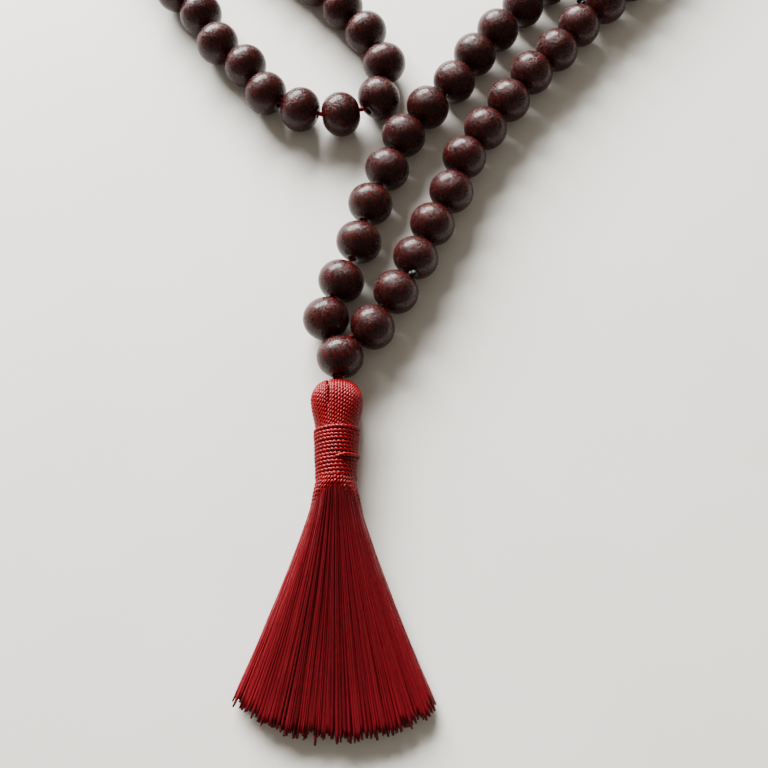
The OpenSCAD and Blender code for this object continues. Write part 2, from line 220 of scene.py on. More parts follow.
def beads_mesh(name, centres, headings, bore_r):
    """One mesh of turned beads: each is bead_profile spun about its hole, then set down at its
    place and heading. Attribute "grain" is the point in the wood that the bead was cut from."""
    profile = bead_profile(bore_r)
    around = np.linspace(0.0, 2 * math.pi, BEAD_AROUND, endpoint=False)
    along = np.repeat(profile[:, 0], BEAD_AROUND)
    out = np.repeat(profile[:, 1], BEAD_AROUND)
    spin = np.tile(around, len(profile))
    quads = ring_quads(len(profile), BEAD_AROUND, wrap_rows=True)
    count = len(centres)
    size = bead_luck.uniform(0.995, 1.015, (count, 1))
    length = bead_luck.uniform(1.0, 1.02, (count, 1))
    start = bead_luck.uniform(0.0, 2 * math.pi, (count, 1))
    x = along[None, :] * length
    y = out[None, :] * np.cos(spin + start) * size
    z = out[None, :] * np.sin(spin + start) * size
    wood = np.stack([np.broadcast_to(x, y.shape), y, z], axis=-1)
    lean = bead_luck.uniform(-0.5, 0.5, (count, 1))
    cut = np.stack([
        wood[..., 0] * np.cos(lean) - wood[..., 1] * np.sin(lean),
        wood[..., 0] * np.sin(lean) + wood[..., 1] * np.cos(lean),
        wood[..., 2]], axis=-1) / MM
    cut += bead_luck.uniform(-400.0, 400.0, (count, 1, 3))
    cos, sin = np.cos(headings)[:, None], np.sin(headings)[:, None]
    place = np.stack([
        centres[:, None, 0] + wood[..., 0] * cos - wood[..., 1] * sin,
        centres[:, None, 1] + wood[..., 0] * sin + wood[..., 1] * cos,
        GURU[2] + wood[..., 2]], axis=-1)
    step = np.arange(count)[:, None, None] * len(along)
    return add_mesh(name, place.reshape(-1, 3), (quads + step).reshape(-1, 4), [], rosewood,
                    {"grain": cut.reshape(-1, 3)})


def group_socket(group, name, kind, way, value=None):
    """One more named input or output on a node group."""
    socket = group.interface.new_socket(name, in_out=way, socket_type=kind)
    if value is not None:
        socket.default_value = value
    return socket


def math_node(nodes, links, operation, first, second):
    """A Math node whose inputs are sockets or plain numbers."""
    made = nodes.new("ShaderNodeMath")
    made.operation = operation
    for slot_at, value in enumerate((first, second)):
        if isinstance(value, (int, float)):
            made.inputs[slot_at].default_value = value
        else:
            links.new(value, made.inputs[slot_at])
    return made.outputs[0]


# The wood: long streaks of wine red in near-black brown, and short open pores along the grain
rosewood, nodes, links, shader = new_material("rosewood")
grain_at = nodes.new("ShaderNodeAttribute")
grain_at.attribute_name = "grain"
streak_map = nodes.new("ShaderNodeMapping")
streak_map.inputs["Scale"].default_value = (0.45, 1.0, 1.0)
links.new(grain_at.outputs["Vector"], streak_map.inputs["Vector"])
streak = nodes.new("ShaderNodeTexNoise")
streak.inputs["Scale"].default_value = 2.3
streak.inputs["Detail"].default_value = 6.0
streak.inputs["Roughness"].default_value = 0.68
streak.inputs["Distortion"].default_value = 0.35
links.new(streak_map.outputs["Vector"], streak.inputs["Vector"])
wood_colour = ramp(nodes, [
    (0.30, (0.005, 0.0012, 0.0014)), (0.46, (0.020, 0.0026, 0.0028)),
    (0.60, (0.060, 0.0052, 0.0045)), (0.74, (0.170, 0.0150, 0.0095))])
links.new(streak.outputs["Fac"], wood_colour.inputs["Fac"])
fine_map = nodes.new("ShaderNodeMapping")
fine_map.inputs["Scale"].default_value = (0.5, 1.0, 1.0)
links.new(grain_at.outputs["Vector"], fine_map.inputs["Vector"])
pores = nodes.new("ShaderNodeTexNoise")
pores.inputs["Scale"].default_value = 5.5
pores.inputs["Detail"].default_value = 3.0
pores.inputs["Roughness"].default_value = 0.6
links.new(fine_map.outputs["Vector"], pores.inputs["Vector"])
pore_mask = ramp(nodes, [(0.36, (0.0, 0.0, 0.0)), (0.50, (1.0, 1.0, 1.0))])
links.new(pores.outputs["Fac"], pore_mask.inputs["Fac"])
darkened = nodes.new("ShaderNodeMix")
darkened.data_type = "RGBA"
darkened.inputs["A"].default_value = (0.004, 0.0016, 0.0016, 1.0)
links.new(pore_mask.outputs["Color"], darkened.inputs["Factor"])
links.new(wood_colour.outputs["Color"], darkened.inputs["B"])
links.new(darkened.outputs["Result"], shader.inputs["Base Color"])
roughness = nodes.new("ShaderNodeMapRange")
roughness.inputs["To Min"].default_value = 0.34
roughness.inputs["To Max"].default_value = 0.17
links.new(pore_mask.outputs["Color"], roughness.inputs["Value"])
links.new(roughness.outputs["Result"], shader.inputs["Roughness"])
pore_bump = nodes.new("ShaderNodeBump")
pore_bump.inputs["Strength"].default_value = 0.5
pore_bump.inputs["Distance"].default_value = 0.00006
links.new(pore_mask.outputs["Color"], pore_bump.inputs["Height"])
links.new(pore_bump.outputs["Normal"], shader.inputs["Normal"])
shader.inputs["IOR"].default_value = 1.34
shader.inputs["Specular IOR Level"].default_value = 0.42
shader.inputs["Coat Weight"].default_value = 0.03
shader.inputs["Coat Roughness"].default_value = 0.12


def middle_of(node):
    """Middle of a CAD node's box, seen from above."""
    low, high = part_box(node)
    return np.array([(low[0] + high[0]) / 2, (low[1] + high[1]) / 2])


def middles_in_run(node, come_from):
    """Middles of the beads in one CAD node, in the order that they are strung in. The beads'
    points lie one bead after another in the node's mesh, the same number for each."""
    count = frame["record"]["physics"]["collision_pieces"][node]
    mesh = frame["nodes"][node].data
    points = np.empty(len(mesh.vertices) * 3, np.float32)
    mesh.vertices.foreach_get("co", points)
    each = points.reshape(count, -1, 3)[:, :, :2].astype(float)
    middles = list((each.min(axis=1) + each.max(axis=1)) / 2)
    walk = [come_from]
    while middles:
        nearest = int(np.argmin([np.linalg.norm(m - walk[-1]) for m in middles]))
        walk.append(middles.pop(nearest))
    return walk[1:]


left_names = [f"bead_left_{i:02d}" for i in range(1, 12)]
right_names = [f"bead_right_{i:02d}" for i in range(1, 13)]
bend_names = [f"bead_bend_{i:02d}" for i in range(1, 14)]
LEFT_MIDDLES = [middle_of(n) for n in left_names]
RIGHT_MIDDLES = [middle_of(n) for n in right_names]
BEND_MIDDLES = [middle_of(n) for n in bend_names]
INNER_MIDDLES = middles_in_run("beads_inner_run", LEFT_MIDDLES[-1])
OUTER_MIDDLES = middles_in_run("beads_outer_run", BEND_MIDDLES[0])
STRUNG = np.array(
    LEFT_MIDDLES + INNER_MIDDLES + BEND_MIDDLES[::-1] + OUTER_MIDDLES + RIGHT_MIDDLES[::-1])
STRUNG_NAMES = (left_names + ["beads_inner_run"] * len(INNER_MIDDLES) + bend_names[::-1]
                + ["beads_outer_run"] * len(OUTER_MIDDLES) + right_names[::-1])
# Points that the cord seems to come from under the first and the last bead
LEFT_FORK = GURU[:2] + np.array([2.4, 4.6]) * MM
RIGHT_FORK = GURU[:2] + np.array([-0.5, 4.5]) * MM
before = np.concatenate([[LEFT_FORK], STRUNG[:-1]])
after = np.concatenate([STRUNG[1:], [RIGHT_FORK]])
TRAVEL = (after - before) / np.linalg.norm(after - before, axis=1, keepdims=True)
HEADING = np.arctan2(TRAVEL[:, 1], TRAVEL[:, 0])

for node in left_names + right_names + bend_names:
    k = STRUNG_NAMES.index(node)
    piece = beads_mesh("turned_" + node, STRUNG[k:k + 1], HEADING[k:k + 1], BORE_R)
    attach(piece, node)
    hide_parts(node)
for node in ("beads_inner_run", "beads_outer_run"):
    ks = [k for k, name in enumerate(STRUNG_NAMES) if name == node]
    piece = beads_mesh("turned_" + node, STRUNG[ks], HEADING[ks], BORE_R)
    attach(piece, "laid_loop")
    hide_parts(node)
GURU_HEADING = math.radians(85.0)
guru = beads_mesh("turned_guru_bead", GURU[None, :2], np.array([GURU_HEADING]), GURU_BORE_R)
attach(guru, "guru_end")
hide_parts("guru_bead")


# ---------------------------------------------------------------------------------------------
# Stringing cord. A thin red cord of three plies runs through all the beads. Both its ends go
# through the guru bead. It is laid in stretches that meet between beads, where it may bend.
CORD_R = 0.45 * MM
CORD_PITCH = 1.4 * MM
CORD_PLIES = 3
CORD_VALLEY = 0.8
CORD_SIDES = 12
CORD_STEP = 0.16 * MM
# Where it turns inside a bead's hole: how far in, its share of the way to the next bead's side,
# and the most that it may be off the hole's middle
TURN_IN = 0.8 * MM
CORD_HUG = 0.15
ROOM_IN_BORE = 0.22 * MM
# What each stretch is short of the place where it meets the next one
JOINT_ROOM = 0.10 * MM


def sweep(name, material, paths, normals, radius, pitch, plies, valley, sides, phase, tone_and_side_light):
    """Strands laid side by side as one mesh. A strand's skin is at
        path + r (cos(a) normal + sin(a) binormal),  a = side angle + phase + 2 pi s / pitch,
    with s the length along the path. r falls from radius on the plies to valley times it between
    them. Each end closes on a pole. Attribute "ply" is (height on the ply, s in mm, brightness).
    The thread colour paints shade between the plies from the height; the brightness is the
    strand's own tone, and on the skirt threads it also holds painted light on the fan's sides."""
    count, stations = paths.shape[:2]
    ahead = np.gradient(paths, axis=1)
    ahead /= np.linalg.norm(ahead, axis=2, keepdims=True)
    normals = normals - (normals * ahead).sum(axis=2, keepdims=True) * ahead
    normals /= np.linalg.norm(normals, axis=2, keepdims=True)
    across = np.cross(ahead, normals)
    steps = np.linalg.norm(np.diff(paths, axis=1), axis=2)
    length = np.concatenate([np.zeros((count, 1)), np.cumsum(steps, axis=1)], axis=1)
    side = np.arange(sides) * 2 * math.pi / sides
    ridge = np.abs(np.cos(side * plies / 2)) if plies > 1 else np.ones(sides)
    shrink = valley + (1 - valley) * ridge
    turned = side + (phase[:, None] + 2 * math.pi * length / pitch)[..., None]
    radius = np.broadcast_to(radius, (count, stations))
    reach = (radius[..., None] * shrink)[..., None]
    skin = (paths[:, :, None] + reach * (
        np.cos(turned)[..., None] * normals[:, :, None]
        + np.sin(turned)[..., None] * across[:, :, None]))
    ring = skin.reshape(count, stations * sides, 3)
    points = np.concatenate([ring, paths[:, :1], paths[:, -1:]], axis=1)
    ply = np.empty((count, stations, sides, 3))
    ply[..., 0] = ridge
    ply[..., 1] = length[..., None] / MM
    ply[..., 2] = tone_and_side_light[:, None, None]
    ends = np.zeros((count, 2, 3))
    ends[:, 1, 1] = length[:, -1] / MM
    ends[..., 2] = tone_and_side_light[:, None]
    ply = np.concatenate([ply.reshape(count, -1, 3), ends], axis=1)
    base = (np.arange(count) * (stations * sides + 2))[:, None, None]
    j = np.arange(sides)
    beside = (j + 1) % sides
    pole, last = stations * sides, (stations - 1) * sides
    caps = np.concatenate([
        np.stack([np.full(sides, pole), beside, j], axis=1),
        np.stack([np.full(sides, pole + 1), last + j, last + beside], axis=1)])
    return add_mesh(name, points.reshape(-1, 3), ring_quads(stations, sides)[None] + base,
                    caps[None] + base, material, {"ply": ply.reshape(-1, 3)})


def evened(path, step):
    """The same route in equal steps, with its corners rounded by a short running mean."""
    path = np.asarray(path, float)
    lengths = np.concatenate([[0.0], np.cumsum(np.linalg.norm(np.diff(path, axis=0), axis=1))])
    count = max(int(lengths[-1] / step), 8)
    at = np.linspace(0.0, lengths[-1], count)
    fine = np.stack([np.interp(at, lengths, path[:, i]) for i in range(3)], axis=1)
    near = 2
    padded = np.concatenate([
        2 * fine[:1] - fine[near:0:-1], fine, 2 * fine[-1:] - fine[-2:-near - 2:-1]])
    window = np.ones(2 * near + 1) / (2 * near + 1)
    return np.stack([np.convolve(padded[:, i], window, "valid") for i in range(3)], axis=1)


def on_cord_level(point):
    """A point seen from above, set at the height of the beads' holes."""
    return np.array([point[0], point[1], GURU[2]])


def mouth(k, side):
    """The mouth of bead k's hole, where the cord comes in (side -1) or goes out (side 1)."""
    return on_cord_level(STRUNG[k] + side * BEAD_LEN / 2 * TRAVEL[k])


def between(k):
    """The middle of the bare cord between bead k and the next one."""
    return (mouth(k, 1) + mouth(k + 1, -1)) / 2


def turning(k, side):
    """Where the cord starts to turn inside bead k's hole: a little in from its mouth, and off the
    hole's middle towards the side that the next bead is on."""
    others = np.concatenate([[LEFT_FORK], STRUNG, [RIGHT_FORK]])
    ahead = others[k + 1 + side] - STRUNG[k]
    aside = ahead - ahead.dot(TRAVEL[k]) * TRAVEL[k]
    hug = min(CORD_HUG, ROOM_IN_BORE / max(np.linalg.norm(aside), 0.1 * MM))
    return on_cord_level(
        STRUNG[k] + side * (BEAD_LEN / 2 - TURN_IN) * TRAVEL[k] + hug * aside)


def turns(first, last):
    """The cord's turns inside beads first to last."""
    return [turning(k, side) for k in range(first, last + 1) for side in (-1, 1)]


def short_of(start, end):
    """A point on the way from start to end, a little short of the end. Two stretches that meet
    there have room to bend."""
    way = end - start
    return end - JOINT_ROOM * way / np.linalg.norm(way)


def through_beads(first, last):
    """The cord's route through beads first to last, almost to the middle of the gaps beyond."""
    return [short_of(turning(first, -1), between(first - 1)), *turns(first, last),
            short_of(turning(last, 1), between(last))]


# Thread colour: the hollows between a thread's plies are painted in a darker shade colour, which the
# ply's height blends into the face colour; the value then swings with the strand's brightness and
# the fibres.
thread_colours = bpy.data.node_groups.new("twisted thread colour", "ShaderNodeTree")
group_socket(thread_colours, "ValleyShade", "NodeSocketColor", "INPUT")
group_socket(thread_colours, "Face", "NodeSocketColor", "INPUT")
group_socket(thread_colours, "Variation", "NodeSocketFloat", "INPUT", 0.2)
group_socket(thread_colours, "Colour", "NodeSocketColor", "OUTPUT")
group_socket(thread_colours, "Fibre", "NodeSocketFloat", "OUTPUT")
nodes, links = thread_colours.nodes, thread_colours.links
given = nodes.new("NodeGroupInput")
sent = nodes.new("NodeGroupOutput")
ply_at = nodes.new("ShaderNodeAttribute")
ply_at.attribute_name = "ply"
parts = nodes.new("ShaderNodeSeparateXYZ")
links.new(ply_at.outputs["Vector"], parts.inputs["Vector"])
along_fibre = nodes.new("ShaderNodeCombineXYZ")
links.new(math_node(nodes, links, "MULTIPLY", parts.outputs["X"], 2.6), along_fibre.inputs["X"])
links.new(math_node(nodes, links, "MULTIPLY", parts.outputs["Y"], 0.35), along_fibre.inputs["Y"])
links.new(math_node(nodes, links, "MULTIPLY", parts.outputs["Z"], 37.0), along_fibre.inputs["Z"])
fibre = nodes.new("ShaderNodeTexNoise")
fibre.inputs["Scale"].default_value = 3.0
fibre.inputs["Detail"].default_value = 4.0
links.new(along_fibre.outputs["Vector"], fibre.inputs["Vector"])
# Painted shade: the lower on its ply a point lies, the more it takes of the shade colour.
height = math_node(nodes, links, "POWER", parts.outputs["X"], 0.8)
blend_face = nodes.new("ShaderNodeMix")
blend_face.data_type = "RGBA"
links.new(height, blend_face.inputs["Factor"])
links.new(given.outputs["ValleyShade"], blend_face.inputs["A"])
links.new(given.outputs["Face"], blend_face.inputs["B"])
swing = math_node(nodes, links, "SUBTRACT", parts.outputs["Z"], 0.5)
swing = math_node(nodes, links, "ADD", swing,
                  math_node(nodes, links, "SUBTRACT", fibre.outputs["Fac"], 0.5))
swing = math_node(nodes, links, "MULTIPLY", swing, given.outputs["Variation"])
brighter = nodes.new("ShaderNodeHueSaturation")
links.new(math_node(nodes, links, "ADD", swing, 1.0), brighter.inputs["Value"])
links.new(blend_face.outputs["Result"], brighter.inputs["Color"])
links.new(brighter.outputs["Color"], sent.inputs["Colour"])
links.new(fibre.outputs["Fac"], sent.inputs["Fibre"])


def thread_material(name, valley_shade, face, variation, rough, gloss):
    """A twisted thread, with painted shade in the hollows between its plies and fine fibres along
    them.
    """
    made, nodes, links, shader = new_material(name)
    group = nodes.new("ShaderNodeGroup")
    group.node_tree = thread_colours
    group.inputs["ValleyShade"].default_value = (*valley_shade, 1.0)
    group.inputs["Face"].default_value = (*face, 1.0)
    group.inputs["Variation"].default_value = variation
    links.new(group.outputs["Colour"], shader.inputs["Base Color"])
    bump = nodes.new("ShaderNodeBump")
    bump.inputs["Strength"].default_value = 0.25
    bump.inputs["Distance"].default_value = 0.00004
    links.new(group.outputs["Fibre"], bump.inputs["Height"])
    links.new(bump.outputs["Normal"], shader.inputs["Normal"])
    shader.inputs["Roughness"].default_value = rough
    shader.inputs["Specular IOR Level"].default_value = gloss
    shader.inputs["Specular Tint"].default_value = (1.0, 0.34, 0.38, 1.0)
    return made


red_cord = thread_material(
    "red cord", (0.07, 0.002, 0.003), (0.22, 0.004, 0.007), 0.25, 0.5, 0.3)


def join(pieces):
    """Several meshes as one, named as the first."""
    if len(pieces) > 1:
        with bpy.context.temp_override(
                active_object=pieces[0], selected_editable_objects=pieces,
                selected_objects=pieces):
            bpy.ops.object.join()
    return pieces[0]


def lay_cord(node, body, routes):
    """One piece of cord for a CAD node: its routes are made one after another and joined."""
    made = []
    for route in routes:
        path = evened(route, CORD_STEP)[None]
        up = np.broadcast_to([0.0, 0.0, 1.0], path.shape)
        made.append(sweep("laid_" + node, red_cord, path, up, CORD_R, CORD_PITCH, CORD_PLIES,
                          CORD_VALLEY, CORD_SIDES, np.zeros(1), np.full(1, 0.5)))
    piece = join(made)
    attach(piece, body)
    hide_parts(node)


GURU_ALONG = np.array([math.cos(GURU_HEADING), math.sin(GURU_HEADING)])
GURU_ACROSS = np.array([-GURU_ALONG[1], GURU_ALONG[0]])
LAST = len(STRUNG) - 1
KNOT_R = 0.9 * MM
SIDE_BY_SIDE = 1.04 * CORD_R


def in_guru(side, along):
    """A point in the guru bead's hole, on one cord end's side of it."""
    return on_cord_level(
        GURU[:2] + side * SIDE_BY_SIDE * GURU_ACROSS + along * GURU_ALONG)


guru_foot = KNOT_R - BEAD_LEN / 2
from_guru = [in_guru(1, guru_foot), in_guru(1, BEAD_LEN / 2), *turns(0, 1),
             short_of(turning(1, 1), between(1))]
to_guru = [short_of(turning(LAST, -1), between(LAST - 1)), *turns(LAST, LAST),
           in_guru(-1, BEAD_LEN / 2), in_guru(-1, guru_foot)]
lay_cord("cord_lower", "guru_end", [from_guru, to_guru])
lay_cord("cord_middle", "middle_strands", [through_beads(2, 3), through_beads(104, 106)])
lay_cord("cord_upper", "upper_strands", [through_beads(4, 6), through_beads(101, 103)])
lay_cord("cord_inner_run", "laid_loop", [through_beads(7, 42)])
lay_cord("cord_inner_arm", "inner_arm", [through_beads(43, 46)])
lay_cord("cord_bend_end", "bend_end", [through_beads(47, 51)])
lay_cord("cord_outer_arm", "outer_arm", [through_beads(52, 55)])
lay_cord("cord_outer_run", "laid_loop", [through_beads(56, 100)])


# ---------------------------------------------------------------------------------------------
# Melted ends. Two spare cord ends were cut and burnt to black lumps, which stand out between
# two beads of the right strand.
DROP_R = 0.72 * MM
DROP_HALF = 1.05 * MM
STALK_R = 0.36 * MM
STALK_BEND = 0.30 * MM
char, nodes, links, shader = new_material("melted cord end")
where = nodes.new("ShaderNodeTexCoord")
blister = nodes.new("ShaderNodeTexNoise")
blister.inputs["Scale"].default_value = 1800.0
links.new(where.outputs["Object"], blister.inputs["Vector"])
soot = ramp(nodes, [(0.35, (0.002, 0.002, 0.002)), (0.75, (0.012, 0.008, 0.007))])
links.new(blister.outputs["Fac"], soot.inputs["Fac"])
links.new(soot.outputs["Color"], shader.inputs["Base Color"])
blister_bump = nodes.new("ShaderNodeBump")
blister_bump.inputs["Strength"].default_value = 0.4
blister_bump.inputs["Distance"].default_value = 0.00008
links.new(blister.outputs["Fac"], blister_bump.inputs["Height"])
links.new(blister_bump.outputs["Normal"], shader.inputs["Normal"])
shader.inputs["Roughness"].default_value = 0.42
shader.inputs["Specular IOR Level"].default_value = 0.15


def melted_end(node, body, k, side, lift, reach):
    """A bent stalk from the cord that swells to a lumpy drop: its radius is the greater of the
    stalk's and of an ellipse about the drop's middle, which a sine wave makes uneven."""
    along = on_cord_level(STRUNG[k + 1]) - on_cord_level(STRUNG[k])
    along /= np.linalg.norm(along)
    left = np.array([-along[1], along[0], 0.0])
    lift = math.radians(lift)
    out = -side * math.cos(lift) * left + math.sin(lift) * np.array([0.0, 0.0, 1.0])
    t = np.linspace(0.0, 1.0, 40)
    end = reach + DROP_HALF
    path = between(k) + (t * end)[:, None] * out
    path += (np.sin(t * 3.0) * STALK_BEND)[:, None] * along
    ball = np.sqrt(np.clip(1 - ((t * end - reach) / DROP_HALF) ** 2, 0.0, 1.0)) * DROP_R
    ball *= 1 + 0.16 * np.sin(t * 31.0)
    stalk = np.where(t * end < reach, STALK_R, 0.0)
    radius = np.maximum(np.maximum(ball, stalk), 0.02 * MM)
    piece = sweep("melted_" + node, char, path[None], np.broadcast_to(left, (1, len(t), 3)),
                  radius[None], 9.0 * MM, 3, 0.86, 18, np.zeros(1), np.full(1, 0.5))
    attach(piece, body)
    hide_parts(node)


melted_end("cord_lump_near", "middle_strands", 105, -1, 58.0, 2.5 * MM)
melted_end("cord_lump_far", "laid_loop", 96, 1, 20.0, 3.0 * MM)


# ---------------------------------------------------------------------------------------------
# Knot and hanging loop. The two cord ends are tied under the guru bead, and a loop of the same
# cord goes from the knot down into the tassel's head.
TASSEL_X = GURU[0] - 0.4 * MM
KNOT_SIZE = 0.19 * MM
KNOT_DEPTH = 0.30 * MM
KNOT_CORD_R = 0.33 * MM
knot_low, knot_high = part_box("guru_knot")
KNOT = np.array([TASSEL_X, (knot_low[1] + knot_high[1]) / 2, GURU[2]])
# The knot is a trefoil: x = sin t + 2 sin 2t, y = cos t - 2 cos 2t, z = -sin 3t
turn = np.linspace(0.0, 2 * math.pi, 90)
knot_path = KNOT + np.stack([
    (np.sin(turn) + 2 * np.sin(2 * turn)) * KNOT_SIZE,
    (np.cos(turn) - 2 * np.cos(2 * turn)) * KNOT_SIZE,
    -np.sin(3 * turn) * KNOT_DEPTH], axis=1)
knot_out = knot_path - KNOT + np.array([0.0, 0.0, 0.05 * MM])
knot = sweep("tied_guru_knot", red_cord, knot_path[None], knot_out[None], KNOT_CORD_R,
             CORD_PITCH, CORD_PLIES, CORD_VALLEY, CORD_SIDES, np.zeros(1), np.full(1, 0.5))
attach(knot, "knot")
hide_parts("guru_knot")

# The loop's two legs go straight down side by side
LOOP_CORD_R = 0.36 * MM
loop_low, loop_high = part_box("hanging_loop")
leg_y = np.linspace(loop_high[1] - 0.5 * MM, loop_low[1] + 0.2 * MM, 60)
loop_paths = np.stack([
    np.stack([TASSEL_X + x + 0 * leg_y, leg_y, GURU[2] + 0 * leg_y], axis=1)
    for x in (-LOOP_CORD_R, LOOP_CORD_R)])
loop = sweep("looped_hanging_loop", red_cord, loop_paths,
             np.broadcast_to([0.0, 0.0, 1.0], loop_paths.shape), LOOP_CORD_R, CORD_PITCH,
             CORD_PLIES, CORD_VALLEY, CORD_SIDES, np.array([0.0, 1.0]), np.full(2, 0.5))
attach(loop, "tassel_loop")
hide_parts("hanging_loop")


# ---------------------------------------------------------------------------------------------
# Tassel head. A hank of silk yarns is folded over the hanging loop, so that they pass over the
# top side by side, part in a cleft where the loop comes out, and come down to the binding.
YARN_R = 0.36 * MM
YARN_PITCH = 1.32 * MM
HEAD_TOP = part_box("head_cords_left")[1][1] + 0.08 * MM
BINDING_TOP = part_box("binding_wraps")[1][1]
SKIRT_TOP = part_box("binding_wraps")[0][1]
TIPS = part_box("tassel_skirt")[0][1]
HEAD_HALF = 4.75 * MM
HEAD_ROUND = 3.9 * MM
NECK_R = 3.50 * MM
HEAD_YARNS = 27
HEAD_DOME = 0.55
# Each yarn's plies lie a little further on than its neighbour's, so that they line up aslant
PLY_SLANT = 0.5 * MM
PLY_STEP = -2 * math.pi * PLY_SLANT / YARN_PITCH
# The cleft: its middle, half width, how far it parts the yarns, and how much flatter they lie
CLEFT_X = -1.35 * MM
CLEFT_HALF = 0.42 * MM
CLEFT_PART = 0.20 * MM
CLEFT_DIP = 0.12
SILK_SEED = 7
silk_luck = np.random.default_rng(SILK_SEED)
silk = thread_material(
    "silk", (0.055, 0.0009, 0.0018), (0.195, 0.0020, 0.005), 0.35, 0.30, 0.34)


def head_paths(count, inset):
    """Routes of the head's yarns. Yarn with angle a across the head goes up the front on
    x = half width times sin(a), over the top on an arc of radius round times cos(a) to the dome's
    power, and down the back; below the arc it closes in on the neck's circle. A narrow dip round
    the cleft parts the yarns."""
    angle = (np.arange(count) + 0.5) / count * math.pi - math.pi / 2
    angle += silk_luck.uniform(-0.015, 0.015, count)
    sin, cos = np.sin(angle)[:, None], np.cos(angle)[:, None]
    stations = 150
    t = np.linspace(-1.0, 1.0, stations)[None, :]
    over = math.pi / 2 * np.clip(t / 0.5, -1.0, 1.0)
    down = np.clip(np.abs(t) - 0.5, 0.0, 0.5) / 0.5
    round_r = (HEAD_ROUND - inset) * np.power(cos, HEAD_DOME)
    centre_y = HEAD_TOP - HEAD_ROUND
    ease = down * down * (3 - 2 * down)
    straight = centre_y - (BINDING_TOP - 0.6 * MM)
    y = centre_y + round_r * np.cos(over) - straight * down
    half_z = round_r * (1 - ease) + (NECK_R - inset) * cos * ease
    z = -np.sign(t) * half_z * np.abs(np.sin(over))
    bulge = 1 - 0.10 * np.cos(over) ** 2
    x = sin * ((HEAD_HALF - inset - YARN_R) * bulge * (1 - ease) + (NECK_R - inset) * ease)
    away = x - CLEFT_X
    top_share = (1 - ease) * np.clip(1.15 - 0.5 * np.abs(t), 0.0, 1.0)
    nip = np.exp(-(away / CLEFT_HALF) ** 2) * top_share
    x = x + np.sign(away) * nip * CLEFT_PART
    out = np.stack([TASSEL_X + x, y, GURU[2] + z * (1 - CLEFT_DIP * nip)], axis=-1)
    middle = np.stack([TASSEL_X + 0.6 * x, np.minimum(y, centre_y), GURU[2] + 0 * y], axis=-1)
    return out, out - middle


paths, facing = head_paths(HEAD_YARNS, YARN_R)
head = sweep("looped_head_yarns", silk, paths, facing, YARN_R, YARN_PITCH, 2, 0.72, 14,
             PLY_STEP * np.arange(HEAD_YARNS) + silk_luck.uniform(-0.2, 0.2, HEAD_YARNS),
             silk_luck.uniform(0, 1, HEAD_YARNS))
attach(head, "tassel_head")
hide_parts("head_cords_left", "head_cords_right")

# The inside of the hank, which fills the head behind its outer yarns: a round top, then a taper
CORE_R = 3.1 * MM
v = np.linspace(0.0, 1.0, 26)
core_y = HEAD_TOP - 0.9 * MM + (BINDING_TOP - HEAD_TOP + 0.5 * MM) * v
core_half = np.where(v < 0.45, np.sqrt(np.clip(1 - ((0.45 - v) / 0.46) ** 2, 0.02, 1.0)), 1.0)
core_half = core_half * (1 - 0.16 * np.clip((v - 0.45) / 0.55, 0.0, 1.0))
core_path = np.stack([0 * v + TASSEL_X, core_y, 0 * v + GURU[2]], axis=1)[None]
core = sweep("packed_head_core", silk, core_path, np.broadcast_to([0.0, 0.0, 1.0], (1, len(v), 3)),
             core_half[None] * CORE_R, 1e3, 1, 1.0, 40, np.zeros(1), np.full(1, 0.2))
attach(core, "tassel_head")


# ---------------------------------------------------------------------------------------------
# Binding. Thirteen turns of the same yarn are wound tightly round the neck of the hank, and a
# last turn crosses the others aslant before it is tucked under them.
WIND_R = 0.42 * MM
TAIL_R = 0.35 * MM
WIND_PITCH = 1.4 * MM
TURNS = 13
BIND_LEN = 8.2 * MM
BIND_WIDE = 3.85 * MM - WIND_R
BIND_NARROW = BIND_WIDE - 0.45 * MM
WIND_VALLEY = 0.74
UNEVEN = 0.03 * MM


def around_tassel(angle, radius, y):
    """Points round the tassel's axis, at x = radius times cos(angle) and z = radius times
    sin(angle). Angle 0 is on the right side and a quarter turn on top."""
    return np.stack([TASSEL_X + radius * np.cos(angle), y, GURU[2] + radius * np.sin(angle)],
                    axis=-1)


wound = np.linspace(0.0, TURNS * 2 * math.pi, 2400)
share = wound / wound[-1]
wave = UNEVEN * np.sin(wound * 0.37 + 1.0) + UNEVEN * np.sin(wound * 1.31)
wind_y = BINDING_TOP - 0.1 * MM - share * BIND_LEN + wave
wind_r = BIND_WIDE + (BIND_NARROW - BIND_WIDE) * share + UNEVEN * np.sin(wound * 2.17)
wind_path = around_tassel(wound, wind_r, wind_y)
wind_out = wind_path - around_tassel(wound, 0.0, wind_y)
wraps = sweep("wound_binding_wraps", silk, wind_path[None], wind_out[None], WIND_R, WIND_PITCH,
              2, WIND_VALLEY, 12, np.zeros(1), np.full(1, 0.45))
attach(wraps, "tassel_head")
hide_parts("binding_wraps")

# The last turn comes up from under the others on the right, and goes down again past the top
TAIL_FROM, TAIL_TO = -25.0, 106.0
tail_t = np.linspace(0.0, 1.0, 110)
tail_turn = np.radians(TAIL_FROM + (TAIL_TO - TAIL_FROM) * tail_t)
tail_rise = np.clip(np.minimum(tail_t / 0.3, (1 - tail_t) / 0.35), 0.0, 1.0)
tail_rise = tail_rise * tail_rise * (3 - 2 * tail_rise)
tail_r = BIND_NARROW + 0.66 * MM * tail_rise
tail_y = BINDING_TOP - 4.9 * MM + 0.45 * MM * tail_rise - 0.5 * MM * tail_t
tail_path = around_tassel(tail_turn, tail_r, tail_y)
tail_out = tail_path - around_tassel(tail_turn, 0.0, tail_y)
tail = sweep("wound_binding_tail", silk, tail_path[None], tail_out[None], TAIL_R, WIND_PITCH,
             2, WIND_VALLEY, 12, np.full(1, 0.8), np.full(1, 0.7))
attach(tail, "tassel_head")
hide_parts("binding_tail")

# The core bundle stays as the CAD has it, in the same silk
core_slots = frame["nodes"]["tassel_core"].data.materials
core_slots.clear()
core_slots.append(silk)


